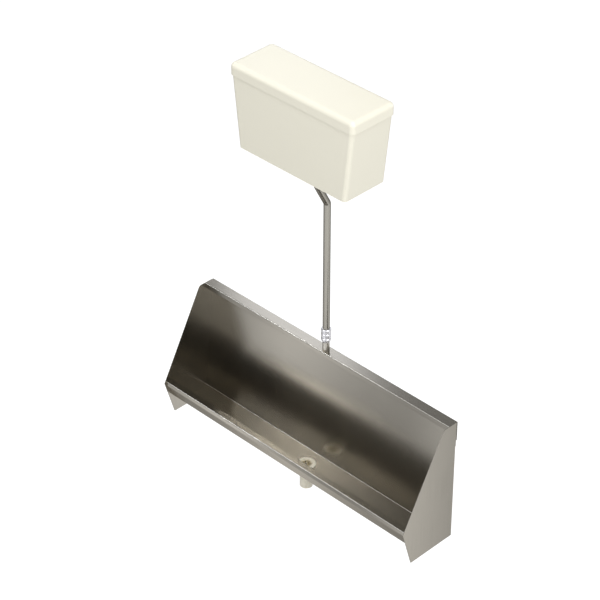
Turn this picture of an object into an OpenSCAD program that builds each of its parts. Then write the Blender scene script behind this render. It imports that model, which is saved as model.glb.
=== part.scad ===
// Wall-hung urinal trough in folded sheet steel, flushed from a high-level cistern.
// The wall is the plane y = 0, the front is -Y, X runs along the wall and Z is up.
// The origin is on the wall, on the centre line, at the hanger rail's row of screw holes.

/* [Trough] */
// Width of the trough over its end panels
trough_w = 1200; // [800:50:1800]
// Height of the end panels, from their foot to the shelf's top
trough_h = 498; // [470:1:560]
// Projection from the wall to the tips of the end panels
trough_d = 259; // [245:1:290]
// Height of the tips above the foot of the end panels
tip_h = 150; // [135:1:165]
// Projection from the wall to the foot's front corner
foot_d = 214.5; // [195:0.5:235]
// Projection of the end panels' top edge
panel_top_d = 70.5; // [55:0.5:100]
// Height of the shelf above the screw line
shelf_z = 114; // [110:1:130]
// Depth of the shelf from the wall to its front face
shelf_d = 43; // [42:0.5:50]
// Height of the shelf's front lip
lip_h = 21; // [16:1:30]
// Length of the lip that hangs down behind the shelf
hang_h = 80; // [74:1:84]
// Distance from the wall to the end panels' rear edges
rear_gap = 6; // [5:0.5:9]

/* [Sheet] */
// Thickness of the pan's and the shelf's sheet
sheet_t = 1.2; // [0.9:0.1:1.5]
// Thickness of the end panels' sheet
panel_t = 1.5; // [1:0.1:2]
// Inside radius of the folds
bend_r = 1.8; // [1:0.1:3]
// Radius of the corner between an end panel's top and its sloping front
panel_corner_r = 12; // [4:1:25]
// Radius of the end panels' small corners
panel_nose_r = 4; // [2:0.5:8]
// Width of the end panels' rear return flanges
return_w = 25; // [22:1:35]
// Height of the rear return flanges
return_h = 396; // [300:1:400]
// Height of the hem inside the shelf's front lip
hem_h = 8; // [5:0.5:12]

/* [Pan] */
// Distance that the rim stands behind the tips
rim_inset = 10.3; // [6:0.1:16]
// Height of the rim above the tips
rim_rise = 4.6; // [0:0.1:8]
// Depth of the rim's flat flange
rim_flange_d = 28.9; // [20:0.1:36]
// Fall of the rim's flange towards the bowl
rim_flange_fall = 4.6; // [0:0.1:8]
// Height of the upright lip in front, below the rim
front_lip_h = 16.5; // [10:0.1:24]
// Height of the raked apron below the lip
apron_h = 57; // [40:0.1:75]
// Distance that the apron's lower edge lies behind the lip
apron_rake = 26.6; // [4:0.1:34]
// Width of the apron's safe edge, turned in at the bottom
apron_return = 10; // [6:0.5:16]
// Height of the floor's upper face above the foot
floor_h = 36; // [32:1:50]
// Depth of the level floor
floor_d = 114; // [105:1:120]
// Distance from the wall to the fold between floor and back panel
fold_d = 49.4; // [44:0.1:56]
// Gap between the back panel's top and the wall
back_top_gap = 6.5; // [6.3:0.1:7.5]
// Height of the back panel's upright top strip
back_top_h = 46; // [40:1:60]

/* [Hanging] */
// Thickness of the hanger rail
rail_t = 1.5; // [1.2:0.1:2]
// Height of the rail's wall leg above and below the screw line
rail_leg = 24; // [18:1:28]
// Height of the rail's upstand, which hooks the hanging lip
rail_hook_h = 52; // [40:1:60]
// Distance from the end panels to the rail's ends
rail_inset = 50; // [35:5:100]
// Distance between the rail's screw holes
rail_pitch = 300; // [200:25:400]
// Radius of the wall screw holes in steel
fix_hole_r = 3.5; // [2.5:0.25:4.5]
// Distance from an end panel's outside to its lower screw hole
low_hole_in = 16; // [14:0.5:20]
// Height of the lower screw holes above the foot
low_hole_h = 18; // [12:1:24]
// Radius of the nylon spacers behind the lower screw holes
spacer_r = 9; // [7:0.5:12]

/* [Sparge pipe] */
// Outside radius of the sparge pipe
sparge_r = 14; // [13.6:0.1:14.4]
// Wall of the steel tubes
tube_wall = 1.2; // [0.8:0.1:1.6]
// Distance between the spray holes
spray_pitch = 50; // [25:5:100]
// Radius of a spray hole
spray_r = 1; // [0.6:0.1:1.6]
// Angle of the spray holes below the horizontal
spray_angle = 35; // [10:5:60]
// Number of straps that hold the sparge pipe
clip_count = 4; // [2:1:8]
// Width of a strap
clip_w = 20; // [12:1:30]
// Thickness of a strap
clip_t = 1; // [0.8:0.1:1.2]

/* [Flush pipe] */
// Outside radius of the flush pipe and of the inlet spigot
pipe_r = 12.7; // [11:0.1:13.2]
// Distance from the wall to the upright pipe's axis
pipe_d = 22.5; // [22.3:0.1:23.2]
// Height of the lower bend above the shelf
bend_above_shelf = 611; // [450:1:800]
// Lean of the pipe between its bends, from the vertical
lean = 28; // [20:1:40]
// Radius of the pipe's bends, on its axis
pipe_bend_r = 18; // [15:1:40]

/* [Coupling] */
// Height of the coupling's foot above the shelf
coupling_above_shelf = 35.5; // [20:0.5:60]
// Height of each of the coupling's three rings
ring_h = 19.5; // [18:0.5:26]
// Outside radius of the rings
ring_r = 18; // [17:0.25:22]
// Radius of the coupling's screwed ends
coupling_thread_r = 15; // [14.2:0.1:15.4]

/* [Waste] */
// Distance from the back fold to the waste's axis
waste_from_fold = 70.2; // [60:0.2:78]
// Radius of the waste's flange
waste_flange_r = 35; // [32:0.5:38]
// Height of the waste's flange
waste_flange_t = 3.5; // [3:0.1:5]
// Radius of the waste's screwed tail
waste_tail_r = 23.9; // [22:0.1:24.4]
// Bore radius of the waste
waste_bore_r = 19.5; // [16:0.25:20]
// Length of the waste from the flange's top to the end of its tail
waste_len = 100; // [70:1:120]
// Depth of the thread on the waste's tail
waste_thread_h = 1.48; // [1.2:0.01:1.6]
// Wall that is left round the grid's seat
grid_wall = 1.2; // [1:0.1:2]
// Depth of the grid's seat below the flange's top
grid_drop = 5; // [4:0.1:6]
// Thickness of the grid
grid_t = 2.5; // [2:0.1:3]
// Number of slots in the grid
grid_slots = 6; // [4:1:8]

/* [Cistern] */
// Width of the cistern's base
cistern_base_w = 491; // [400:1:520]
// Width of the cistern just below its lid
cistern_top_w = 551.5; // [524:0.5:600]
// Height of the cistern's body below the lid
cistern_h = 265; // [240:1:320]
// Distance from the wall to the cistern's back
cistern_gap = 6; // [4:0.5:12]
// Distance from the wall to the cistern's front
cistern_d = 194.8; // [170:0.1:230]
// Wall of the cistern
cistern_wall = 3.5; // [2.5:0.1:5]
// Thickness of the cistern's base
cistern_floor = 4; // [3:0.1:6]
// Radius of the cistern's upright corners
cistern_corner_r = 15; // [10:0.5:20]
// Height of the collar that the lid sits over
collar_h = 20; // [14:1:26]
// Distance that the collar steps in
collar_step = 3; // [2.5:0.1:4]
// Distance between the two wall screws of the cistern
cistern_pitch = 300; // [200:10:360]
// Radius of the cistern's wall screw holes
cistern_hole_r = 3.25; // [2.5:0.25:4]
// Height of the cistern's wall screws above its base
cistern_hole_h = 236; // [200:1:245]

/* [Lid] */
// Height of the lid
lid_h = 44.5; // [38:0.5:56]
// Distance that the lid stands out past the cistern
lid_over = 4; // [3.5:0.1:8]
// Radius of the lid's corners and top edges
lid_r = 17; // [12:0.5:20]
// Wall of the lid
lid_wall = 3; // [2:0.1:3.4]
// Number of cross ribs under the lid
lid_ribs = 4; // [2:1:8]
// Thickness of the lid's ribs
lid_rib_t = 2.5; // [1.5:0.1:4]

/* [Siphon] */
// Distance from the wall to the siphon's axis
outlet_d = 93; // [80:0.5:110]
// Radius of the siphon's screwed tail
siphon_tail_r = 19; // [17.5:0.1:20]
// Outside radius of the siphon's bell
bell_r = 42; // [36:0.5:48]
// Height of the bell
bell_h = 181; // [140:1:200]
// Outside radius of the standpipe
standpipe_r = 18; // [16:0.25:20]
// Gap between the standpipe's mouth and the inside of the bell
mouth_gap = 15; // [10:1:30]
// Wall of the siphon's mouldings
siphon_wall = 2.5; // [2:0.1:3]
// Outside radius of the starter tube
starter_r = 4; // [3:0.25:5]

/* [Petcock] */
// Height of the petcock above the cistern's base
petcock_h = 226; // [190:1:228]
// Radius of the petcock's screwed tail
petcock_tail_r = 10.5; // [9:0.1:11]
// Length of the tail that stands out past its nut
petcock_free = 26; // [18:1:40]
// Depth of the thread on the petcock's tail
petcock_thread_h = 1.16; // [0.9:0.01:1.3]
// Radius of the plug at the middle of its taper
plug_r = 6; // [5:0.1:7]
// Length of the cross handle
handle_l = 36; // [24:1:38]

/* [Clearances] */
// Gap between pieces that are only set beside each other
seat_gap = 0.3; // [0.2:0.05:0.4]
// Radial gap between a pipe and what it slides into
slip_gap = 0.2; // [0.1:0.05:0.3]
// Radial gap between a nut and its thread
thread_gap = 0.15; // [0.1:0.01:0.2]
// Gap between a rubber ring and what it grips
rubber_gap = 0.1; // [0.05:0.01:0.15]
// Radial gap between a tail and the hole that it passes through
hole_gap = 0.5; // [0.3:0.05:0.8]
// Radial running clearance of the petcock's plug
plug_gap = 0.06; // [0.03:0.01:0.09]

/* [Hidden] */
$fn = 72;
// Allowance by which a cutting tool passes a face
e = 1;
// Hair-thin band that ties each bend of a tube to its next leg
joint_h = 0.1;
joint_rise = 0.02;
// Excess of each arc's radius, so that it crosses the flats beside it and doesn't only touch them
arc_rise = 0.01;

// Trough
z_foot = shelf_z - trough_h;
inner_w = trough_w - 2 * panel_t;
bend_out = bend_r + panel_t;
fold_r = bend_r + sheet_t / 2;
hem_r = sheet_t / 2 + 0.3;
hem_back = 2 * hem_r + 0.2;
lip_mid = -shelf_d + sheet_t / 2;
shelf_mid = shelf_z - sheet_t / 2;
hang_mid = -seat_gap - sheet_t / 2;
z_tip = z_foot + tip_h;
rim_y = -(trough_d - rim_inset);
rim_z = z_tip + rim_rise;
floor_top = z_foot + floor_h;
floor_mid = floor_top - sheet_t / 2;
floor_under = floor_top - sheet_t;
back_mid = -back_top_gap + sheet_t / 2;
waste_y = -(fold_d + waste_from_fold);

// Rail
rail_play = 0.4;
rail_hook_y = seat_gap + sheet_t + rail_play;
rail_mitre = 0.5;
rail_joggle = 4.5;
rail_bend_z = shelf_z - hang_h - rail_joggle;
rail_w = trough_w - 2 * rail_inset;
rail_margin = 50;
rail_holes = floor((rail_w - 2 * rail_margin) / rail_pitch) + 1;

// Sparge pipe
sparge_gap = 3;
weld_gap = 0.15;
sparge_z = shelf_z - sheet_t - sparge_gap - sparge_r;
sparge_bore = sparge_r - tube_wall;
cap_t = 2;
cap_plug = 10;
sparge_l = inner_w - 2 * (cap_t + seat_gap);
spray_margin = 40;
sprays = floor((sparge_l - 2 * spray_margin) / spray_pitch) + 1;
clip_foot = 6;

// Coupling, from its foot upwards
coupling_z = shelf_z + coupling_above_shelf;
body_z = coupling_z + ring_h;
upper_z = body_z + ring_h;
nut_end = 4;
seal_h = 5;
thread_in = ring_h - nut_end - seal_h - seat_gap;
stop_h = 3;
stop_z = body_z + (ring_h - stop_h) / 2;
ring_step = 0.2;

// Flush pipe
lower_bend_z = shelf_z + bend_above_shelf;
upper_bend_z = lower_bend_z + (outlet_d - pipe_d) / tan(lean);
bend_tangent = pipe_bend_r * tan(lean / 2);

// Siphon and the joint below it
nut_floor = 4;
pipe_nut_z = upper_bend_z + bend_tangent + 7;
pipe_seal_h = 11.8;
tail_z = pipe_nut_z + nut_floor + pipe_seal_h + seat_gap;
pipe_nut_grip = 12;
nut_room = 3;
backnut_h = 12;
washer_t = 2;
cistern_z = tail_z + pipe_nut_grip + nut_room + backnut_h + washer_t;
pipe_end_z = tail_z + 11;
cistern_inside = cistern_z + cistern_floor;
siphon_seal_t = 3;
siphon_flange_z = cistern_inside + siphon_seal_t;
siphon_flange_t = 5;
bell_z = siphon_flange_z + siphon_flange_t;
bell_shoulder = 24;
mouth_z = bell_z + bell_h - siphon_wall - mouth_gap;
mouth_h = 10;
mouth_flare = 5;
socket_h = 7;
port_w = 16;
port_h = 16;

// Cistern
cistern_mid = -(cistern_gap + cistern_d) / 2;
lid_z = cistern_z + cistern_h;
shoulder_rise = 2;
draft = atan((cistern_top_w - cistern_base_w) / 2 / cistern_h);
function half_at(h) = cistern_base_w / 2 + h * tan(draft);
collar_half = cistern_top_w / 2 - collar_step;
rim_top = lid_z + collar_h + shoulder_rise;
lid_wall_gap = cistern_gap - lid_over;
boss_r = 14;
foot_boss_r = 10;
foot_boss_h = 30;

// Petcock, its local X points out of the cistern's left end
petcock_z = cistern_z + petcock_h;
pad_r = 20;
pad_face = 1;
pad_halves = [half_at(petcock_h - pad_r), half_at(petcock_h + pad_r)];
pad_out = max(pad_halves) + pad_face;
pad_in = min(pad_halves) - cistern_wall / cos(draft) - pad_face;
pad_t = pad_out - pad_in;
petcock_nut_t = 8;
petcock_flange_t = 4;
petcock_neck_r = petcock_tail_r - petcock_thread_h / 2;
petcock_flange_r = petcock_tail_r + 6.5;
petcock_washer_r = petcock_tail_r + 6;
barrel_r = 10;
barrel_half = 12;
plug_x = -(pad_t + washer_t + petcock_flange_t + barrel_r + 8);
plug_taper = 0.6;
plug_neck_h = 6;
plug_hub_h = 8;
plug_screw_r = 2.5;
plug_screw_l = 9;
plug_nut_t = 4;
plug_collar_t = 1;
handle_r = 3;
handle_end_r = 4;
nozzle_r = 4.5;
nozzle_l = 30;
nozzle_out = 13;
water_r = 2.5;

steel = [0.66, 0.64, 0.6];
pale_plastic = [0.95, 0.94, 0.87];
cream_plastic = [0.88, 0.86, 0.77];
bright_metal = [0.78, 0.78, 0.8];
brass = [0.78, 0.66, 0.4];
black_rubber = [0.12, 0.12, 0.12];
white_nylon = [0.9, 0.9, 0.88];

// Extrudes an outline drawn in (y, z) along X
module along_x(x, length) {
    translate([x, 0, 0])
        rotate([90, 0, 90])
            linear_extrude(length)
                children();
}

// Extrudes an outline drawn in (x, z) from y towards the front
module along_y(y, length) {
    translate([0, y, 0])
        rotate([90, 0, 0])
            linear_extrude(length)
                children();
}

function unit(v) = v / norm(v);
function left_of(v) = [-v.y, v.x];
function leg(p, i) = unit(p[i + 1] - p[i]);
function turn_side(p, i) = sign(cross(leg(p, i - 1), leg(p, i)));
function turn_angle(p, i) = acos(leg(p, i - 1) * leg(p, i));
function reach(p, r, i) = r * tan(turn_angle(p, i) / 2);
// Where the arc at a corner starts and ends, the arc's centre, and a point beside the corner
function arc_start(p, r, i) = p[i] - leg(p, i - 1) * reach(p, r, i);
function arc_end(p, r, i) = p[i] + leg(p, i) * reach(p, r, i);
function arc_centre(p, r, i) = arc_start(p, r, i) + left_of(leg(p, i - 1)) * turn_side(p, i) * r;
function beside(p, i, d) = p[i] + left_of(leg(p, i - 1) + leg(p, i)) * d / (1 + leg(p, i - 1) * leg(p, i));

// What rounding a corner takes off, reaching a little past the outline
module corner_waste(p, i, r) {
    centre = arc_centre(p, r, i);
    translate(centre)
        difference() {
            polygon([[0, 0], (arc_start(p, r, i) - centre) * 1.5, (p[i] - centre) * 1.5,
                (arc_end(p, r, i) - centre) * 1.5]);
            circle(r + arc_rise);
        }
}

// A strip of sheet that follows a line of points, with a true arc at each fold
module folded_strip(p, r, t) {
    last = len(p) - 1;
    function edge(side) = [
        p[0] + left_of(leg(p, 0)) * side * t / 2,
        for (i = [1 : last - 1])
            let (q = [p[i - 1], p[i], p[i + 1]])
                each turn_side(p, i) == side
                    ? inside_corner([for (j = [0 : 2]) q[j]], side * t / 2, r[i] - t / 2)
                    : [beside(p, i, side * t / 2)],
        p[last] + left_of(leg(p, last - 1)) * side * t / 2];
    left = edge(1);
    right = edge(-1);
    difference() {
        polygon(concat(left, [for (i = [len(right) - 1 : -1 : 0]) right[i]]));
        for (i = [1 : last - 1]) {
            translate(arc_centre(p, r[i], i))
                circle(r[i] - t / 2 + arc_rise);
            outer = [for (q = [p[i - 1], p[i], p[i + 1]]) q + beside(p, i, -turn_side(p, i) * t / 2) - p[i]];
            corner_waste(outer, 1, r[i] + t / 2);
        }
    }
}

// The inside of a fold, filled up to the centre of its arc
function inside_corner(q, d, r) =
    let (shift = beside(q, 1, d) - q[1], inner = [for (v = q) v + shift])
        [arc_start(inner, r, 1), arc_centre(inner, r, 1), arc_end(inner, r, 1)];

// An outline whose outer corners are rounded by true arcs
module rounded_outline(p, r) {
    n = len(p);
    difference() {
        polygon(p);
        for (i = [0 : n - 1])
            if (r[i] > 0)
                corner_waste([p[(i + n - 1) % n], p[i], p[(i + 1) % n]], 1, r[i]);
    }
}

module ring(inner, outer, z, h) {
    translate([0, 0, z])
        difference() {
            cylinder(r = outer, h = h);
            translate([0, 0, -e])
                cylinder(r = inner, h = h + 2 * e);
        }
}

// End panels
module end_panel() {
    rear = -rear_gap;
    inset = -(rear_gap + bend_out);
    x_out = trough_w / 2;
    z_return = z_foot + return_h;
    difference() {
        union() {
            along_x(x_out - panel_t, panel_t)
                rounded_outline([[inset, z_foot], [inset, z_return], [rear, z_return], [rear, shelf_z],
                    [-panel_top_d, shelf_z], [-trough_d, z_tip], [-foot_d, z_foot]],
                    [0, 0, 0, 2, panel_corner_r, panel_nose_r, panel_nose_r]);
            translate([x_out - bend_out, inset, z_foot])
                rotate_extrude(angle = 90)
                    translate([bend_r, 0])
                        square([panel_t, return_h]);
            translate([x_out - return_w, rear - panel_t, z_foot])
                cube([return_w - bend_out, panel_t, return_h]);
        }
        translate([x_out - low_hole_in, 0, z_foot + low_hole_h])
            rotate([90, 0, 0])
                cylinder(r = fix_hole_r, h = rear_gap + 2 * panel_t);
    }
}

module right_end_panel() {
    color(steel)
        end_panel();
}

module left_end_panel() {
    color(steel)
        mirror([1, 0, 0])
            end_panel();
}

// Pan: safe edge, apron, lip, rim, front wall, floor and back panel from one sheet
module trough_pan() {
    apron_y = rim_y + apron_rake;
    apron_z = rim_z - front_lip_h - apron_h;
    path = [[apron_y + apron_return, apron_z], [apron_y, apron_z], [rim_y, rim_z - front_lip_h],
        [rim_y, rim_z], [rim_y + rim_flange_d, rim_z - rim_flange_fall], [-(fold_d + floor_d), floor_mid],
        [-fold_d, floor_mid], [back_mid, shelf_z - back_top_h], [back_mid, shelf_z - sheet_t - seat_gap]];
    color(steel)
        difference() {
            along_x(-inner_w / 2, inner_w)
                folded_strip(path, [0, fold_r, fold_r, fold_r, fold_r, fold_r, fold_r, fold_r, 0], sheet_t);
            translate([0, waste_y, floor_mid - e])
                cylinder(r = waste_tail_r + hole_gap, h = 2 * e + sheet_t);
        }
}

// Shelf with its hemmed front lip and the lip that hangs on the rail
module top_shelf() {
    z_hem = shelf_z - lip_h + sheet_t / 2;
    path = [[lip_mid + hem_back, shelf_z - lip_h + hem_h], [lip_mid + hem_back, z_hem], [lip_mid, z_hem],
        [lip_mid, shelf_mid], [hang_mid, shelf_mid], [hang_mid, shelf_z - hang_h]];
    color(steel)
        difference() {
            along_x(-inner_w / 2, inner_w)
                folded_strip(path, [0, hem_r, hem_r, fold_r, fold_r, 0], sheet_t);
            translate([0, -pipe_d, shelf_z - sheet_t - e])
                cylinder(r = pipe_r + seat_gap, h = sheet_t + 2 * e);
        }
}

// Hanger rail: a wall leg and an upstand that stands off by the hanging lip
module wall_rail() {
    hook_top = rail_bend_z + rail_hook_h;
    hook_front = -rail_hook_y - rail_t;
    color(steel)
        difference() {
            along_x(-rail_w / 2, rail_w)
                polygon([[0, -rail_leg], [0, rail_bend_z], [-rail_hook_y, rail_bend_z + rail_joggle],
                    [-rail_hook_y, hook_top], [hook_front, hook_top],
                    [hook_front, rail_bend_z + rail_joggle - rail_mitre],
                    [-rail_t, rail_bend_z - rail_mitre], [-rail_t, -rail_leg]]);
            for (i = [0 : rail_holes - 1])
                translate([(i - (rail_holes - 1) / 2) * rail_pitch, e, 0])
                    rotate([90, 0, 0])
                        cylinder(r = fix_hole_r, h = rail_t + 2 * e);
        }
}

module wall_spacers() {
    color(white_nylon)
        for (side = [-1, 1])
            translate([side * (trough_w / 2 - low_hole_in), 0, z_foot + low_hole_h])
                rotate([90, 0, 0])
                    ring(fix_hole_r, spacer_r, 0, rear_gap);
}

// Sparge pipe, hidden behind the shelf's lip
module sparge_pipe() {
    color(steel)
        translate([0, -pipe_d, sparge_z])
            difference() {
                rotate([0, 90, 0])
                    ring(sparge_bore, sparge_r, -sparge_l / 2, sparge_l);
                cylinder(r = pipe_r - tube_wall, h = sparge_r + e);
                for (i = [0 : sprays - 1])
                    translate([(i - (sprays - 1) / 2) * spray_pitch, 0, 0])
                        rotate([-90 - spray_angle, 0, 0])
                            cylinder(r = spray_r, h = sparge_r + e);
            }
}

module sparge_end_caps() {
    color(black_rubber)
        for (side = [0, 1])
            mirror([side, 0, 0])
                translate([sparge_l / 2, -pipe_d, sparge_z])
                    rotate([0, 90, 0]) {
                        cylinder(r = sparge_r, h = cap_t);
                        translate([0, 0, -cap_plug])
                            cylinder(r = sparge_bore - rubber_gap, h = cap_plug);
                    }
}

module sparge_straps() {
    top = sparge_r + sparge_gap;
    inside = sparge_r + seat_gap;
    outside = inside + clip_t;
    mouth = outside - clip_foot;
    color(steel)
        for (i = [0 : clip_count - 1])
            translate([0, -pipe_d, sparge_z])
                along_x((i + 0.5) / clip_count * sparge_l - sparge_l / 2 - clip_w / 2, clip_w)
                    difference() {
                        strap_outline(outside, top);
                        strap_outline(inside, top - clip_t);
                        translate([-mouth, 0])
                            square([2 * mouth, top + e]);
                    }
}

module strap_outline(r, top) {
    circle(r);
    translate([-r, 0])
        square([2 * r, top]);
}

// Spigot from the sparge pipe up through the shelf
module inlet_spigot() {
    color(steel)
        translate([0, -pipe_d, 0])
            difference() {
                ring(pipe_r - tube_wall, pipe_r, sparge_z, stop_z - seat_gap - sparge_z);
                translate([0, 0, sparge_z])
                    rotate([0, 90, 0])
                        cylinder(r = sparge_r + weld_gap, h = 4 * pipe_r, center = true);
            }
}

// One ring of the coupling: wide at its top, narrower at its foot
function ring_side(z, foot_r, foot_h) = [[foot_r, z], [ring_r - 1, z + foot_h], [ring_r, z + ring_h - 4],
    [ring_r - 0.8, z + ring_h - 2], [coupling_thread_r + 1, z + ring_h - ring_step]];

module coupling_lower_nut() {
    bore = coupling_thread_r + thread_gap;
    hole = pipe_r + slip_gap;
    color(bright_metal)
        translate([0, -pipe_d, 0])
            rotate_extrude()
                polygon(concat([[hole, coupling_z]], ring_side(coupling_z, hole + 0.9, 8),
                    [[bore, body_z - ring_step], [bore, coupling_z + nut_end],
                    [hole, coupling_z + nut_end]]));
}

module coupling_body() {
    bore = pipe_r + slip_gap;
    low = body_z - thread_in;
    high = upper_z + thread_in;
    color(bright_metal)
        translate([0, -pipe_d, 0])
            rotate_extrude()
                polygon(concat([[bore, low], [coupling_thread_r, low], [coupling_thread_r, body_z]],
                    ring_side(body_z, ring_r - 2.2, 3),
                    [[coupling_thread_r, upper_z - ring_step], [coupling_thread_r, high], [bore, high],
                    [bore, stop_z + stop_h], [bore - tube_wall, stop_z + stop_h], [bore - tube_wall, stop_z],
                    [bore, stop_z]]));
}

module coupling_upper_nut() {
    bore = coupling_thread_r + thread_gap;
    hole = pipe_r + slip_gap;
    top = upper_z + ring_h - ring_step;
    color(bright_metal)
        translate([0, -pipe_d, 0])
            rotate_extrude()
                polygon(concat([[bore, upper_z]], ring_side(upper_z, ring_r - 2.2, 3),
                    [[hole, top], [hole, top - nut_end + ring_step], [bore, top - nut_end + ring_step]]));
}

module coupling_seals() {
    color(black_rubber)
        for (z = [coupling_z + nut_end, upper_z + thread_in])
            translate([0, -pipe_d, z + seat_gap / 2])
                ring(pipe_r + rubber_gap, coupling_thread_r - rubber_gap, 0, seal_h);
}

// A rod of straight legs and turns, drawn upwards; a positive turn leans towards -X
module bent_rod(legs, turns, bend, r, i = 0) {
    cylinder(r = r, h = legs[i]);
    if (i < len(turns))
        translate([0, 0, legs[i]])
            face_turn(turns[i])
                translate([-bend, 0, 0]) {
                    rotate([90, 0, 0])
                        rotate_extrude(angle = abs(turns[i]))
                            translate([bend, 0])
                                circle(r);
                    rotate([0, -abs(turns[i]), 0])
                        translate([bend, 0, 0]) {
                            translate([0, 0, -joint_h])
                                cylinder(r = r + joint_rise, h = 3 * joint_h);
                            translate([0, 0, joint_h])
                                face_turn(turns[i])
                                    bent_rod(legs, turns, bend, r, i + 1);
                        }
                }
}

module face_turn(turn) {
    rotate([0, 0, turn > 0 ? 0 : 180])
        children();
}

module bent_tube(legs, turns, bend, outer, wall) {
    last = len(legs) - 1;
    past_ends = [for (i = [0 : last]) legs[i] + (i == 0 ? e : 0) + (i == last ? e : 0)];
    difference() {
        bent_rod(legs, turns, bend, outer);
        translate([0, 0, -e])
            bent_rod(past_ends, turns, bend, outer - wall);
    }
}

module flush_pipe() {
    low = stop_z + stop_h + seat_gap;
    rise = lower_bend_z - bend_tangent - low;
    sloping = (outlet_d - pipe_d) / sin(lean) - 2 * bend_tangent - joint_h;
    top = pipe_end_z - upper_bend_z - bend_tangent - joint_h;
    color(steel)
        translate([0, -pipe_d, low])
            rotate([0, 0, 90])
                bent_tube([rise, sloping, top], [lean, -lean], pipe_bend_r, pipe_r, tube_wall);
}

// Waste; a tail has its thread's full radius only below its nut, and the mean radius inside it
thread_start = 2;
waste_seal_t = 1;
lower_washer_t = 3;
flange_low = floor_top + waste_seal_t;
flange_top = flange_low + waste_flange_t;
flange_edge = 1.5;
flange_bevel = 3;
waste_neck_r = waste_tail_r - waste_thread_h / 2;
waste_nut_z = floor_under - lower_washer_t - backnut_h;
grid_seat_r = waste_neck_r - grid_wall;
grid_z = flange_top - grid_drop;
bridge_h = 8;
bridge_w = 6;
bridge_hub_r = 5;
bridge_z = grid_z - 0.5 - bridge_h;
tail_end = flange_top - waste_len;
screw_r = 2;
screw_head_r = 4.2;
screw_head_t = 1.8;
screw_slot_w = 1;
slot_half = 2.6;
slot_from = 9;
slot_to = 15;

module waste_body() {
    color(cream_plastic)
        translate([0, waste_y, 0])
            difference() {
                union() {
                    difference() {
                        union() {
                            translate([0, 0, flange_low])
                                cylinder(r = waste_flange_r, h = flange_edge);
                            translate([0, 0, flange_low + flange_edge])
                                cylinder(r1 = waste_flange_r, r2 = waste_flange_r - flange_bevel,
                                    h = waste_flange_t - flange_edge);
                            translate([0, 0, tail_end])
                                cylinder(r = waste_neck_r, h = waste_len - waste_flange_t);
                            translate([0, 0, tail_end])
                                cylinder(r = waste_tail_r, h = waste_nut_z - thread_start - tail_end);
                        }
                        translate([0, 0, tail_end - e])
                            cylinder(r = waste_bore_r, h = waste_len + 2 * e);
                        translate([0, 0, grid_z])
                            cylinder(r = grid_seat_r, h = grid_drop + e);
                    }
                    translate([-waste_bore_r - e, -bridge_w / 2, bridge_z])
                        cube([2 * (waste_bore_r + e), bridge_w, bridge_h]);
                    translate([0, 0, bridge_z])
                        cylinder(r = bridge_hub_r, h = bridge_h);
                }
                translate([0, 0, bridge_z - e])
                    cylinder(r = screw_r + thread_gap, h = bridge_h + 2 * e);
            }
}

module waste_grid() {
    outer = grid_seat_r - slip_gap;
    color(cream_plastic)
        translate([0, waste_y, grid_z])
            difference() {
                cylinder(r = outer, h = grid_t);
                for (i = [0 : grid_slots - 1])
                    rotate([0, 0, (i + 0.5) * 360 / grid_slots])
                        translate([0, 0, -e]) {
                            for (x = [slot_from, slot_to])
                                translate([x, 0, 0])
                                    cylinder(r = slot_half, h = grid_t + 2 * e);
                            translate([slot_from, -slot_half, 0])
                                cube([slot_to - slot_from, 2 * slot_half, grid_t + 2 * e]);
                        }
                translate([0, 0, -e])
                    cylinder(r = screw_r + slip_gap, h = grid_t + 2 * e);
            }
}

module waste_screw() {
    color(steel)
        translate([0, waste_y, grid_z + grid_t])
            difference() {
                union() {
                    cylinder(r = screw_head_r, h = screw_head_t);
                    translate([0, 0, -grid_t - bridge_h - e])
                        cylinder(r = screw_r, h = grid_t + bridge_h + e);
                }
                translate([-screw_head_r - e, -screw_slot_w / 2, screw_head_t / 2])
                    cube([2 * (screw_head_r + e), screw_slot_w, screw_head_t]);
            }
}

module waste_top_seal() {
    color(black_rubber)
        translate([0, waste_y, 0])
            ring(waste_neck_r + rubber_gap, waste_flange_r - 1, floor_top, waste_seal_t);
}

module waste_lower_washer() {
    color(black_rubber)
        translate([0, waste_y, 0])
            ring(waste_neck_r + rubber_gap, waste_flange_r, floor_under - lower_washer_t, lower_washer_t);
}

module waste_backnut() {
    across = waste_tail_r + 9;
    collar = 3;
    color(cream_plastic)
        translate([0, waste_y, waste_nut_z])
            difference() {
                union() {
                    cylinder(r = across / cos(30), h = backnut_h - collar, $fn = 6);
                    translate([0, 0, backnut_h - collar])
                        cylinder(r = across + 2, h = collar);
                }
                translate([0, 0, -e])
                    cylinder(r = waste_neck_r + thread_gap, h = backnut_h + 2 * e);
            }
}

// A box with slanting ends, whose upright edges are rounded by true cylinders
module slanted_box(z0, z1, half0, y_back, y_front, r) {
    half1 = half0 + (z1 - z0) * tan(draft);
    long = (z1 - z0) / cos(draft) + 4 * r;
    difference() {
        along_y(y_back, y_back - y_front)
            polygon([[-half0, z0], [half0, z0], [half1, z1], [-half1, z1]]);
        for (side = [0, 1])
            mirror([side, 0, 0]) {
                translate([half0, y_front, z0])
                    rotate([0, draft, 0])
                        upright_corner(r, long);
                translate([half0, y_back, z0])
                    rotate([0, draft, 0])
                        mirror([0, 1, 0])
                            upright_corner(r, long);
            }
    }
}

// What is cut off an upright edge to round it
module upright_corner(r, long) {
    translate([0, 0, -2 * r])
        difference() {
            translate([-r, -e, 0])
                cube([r + e, r + e, long]);
            translate([-r, r, -e])
                cylinder(r = r + 2 * arc_rise, h = long + 2 * e);
        }
}

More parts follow.
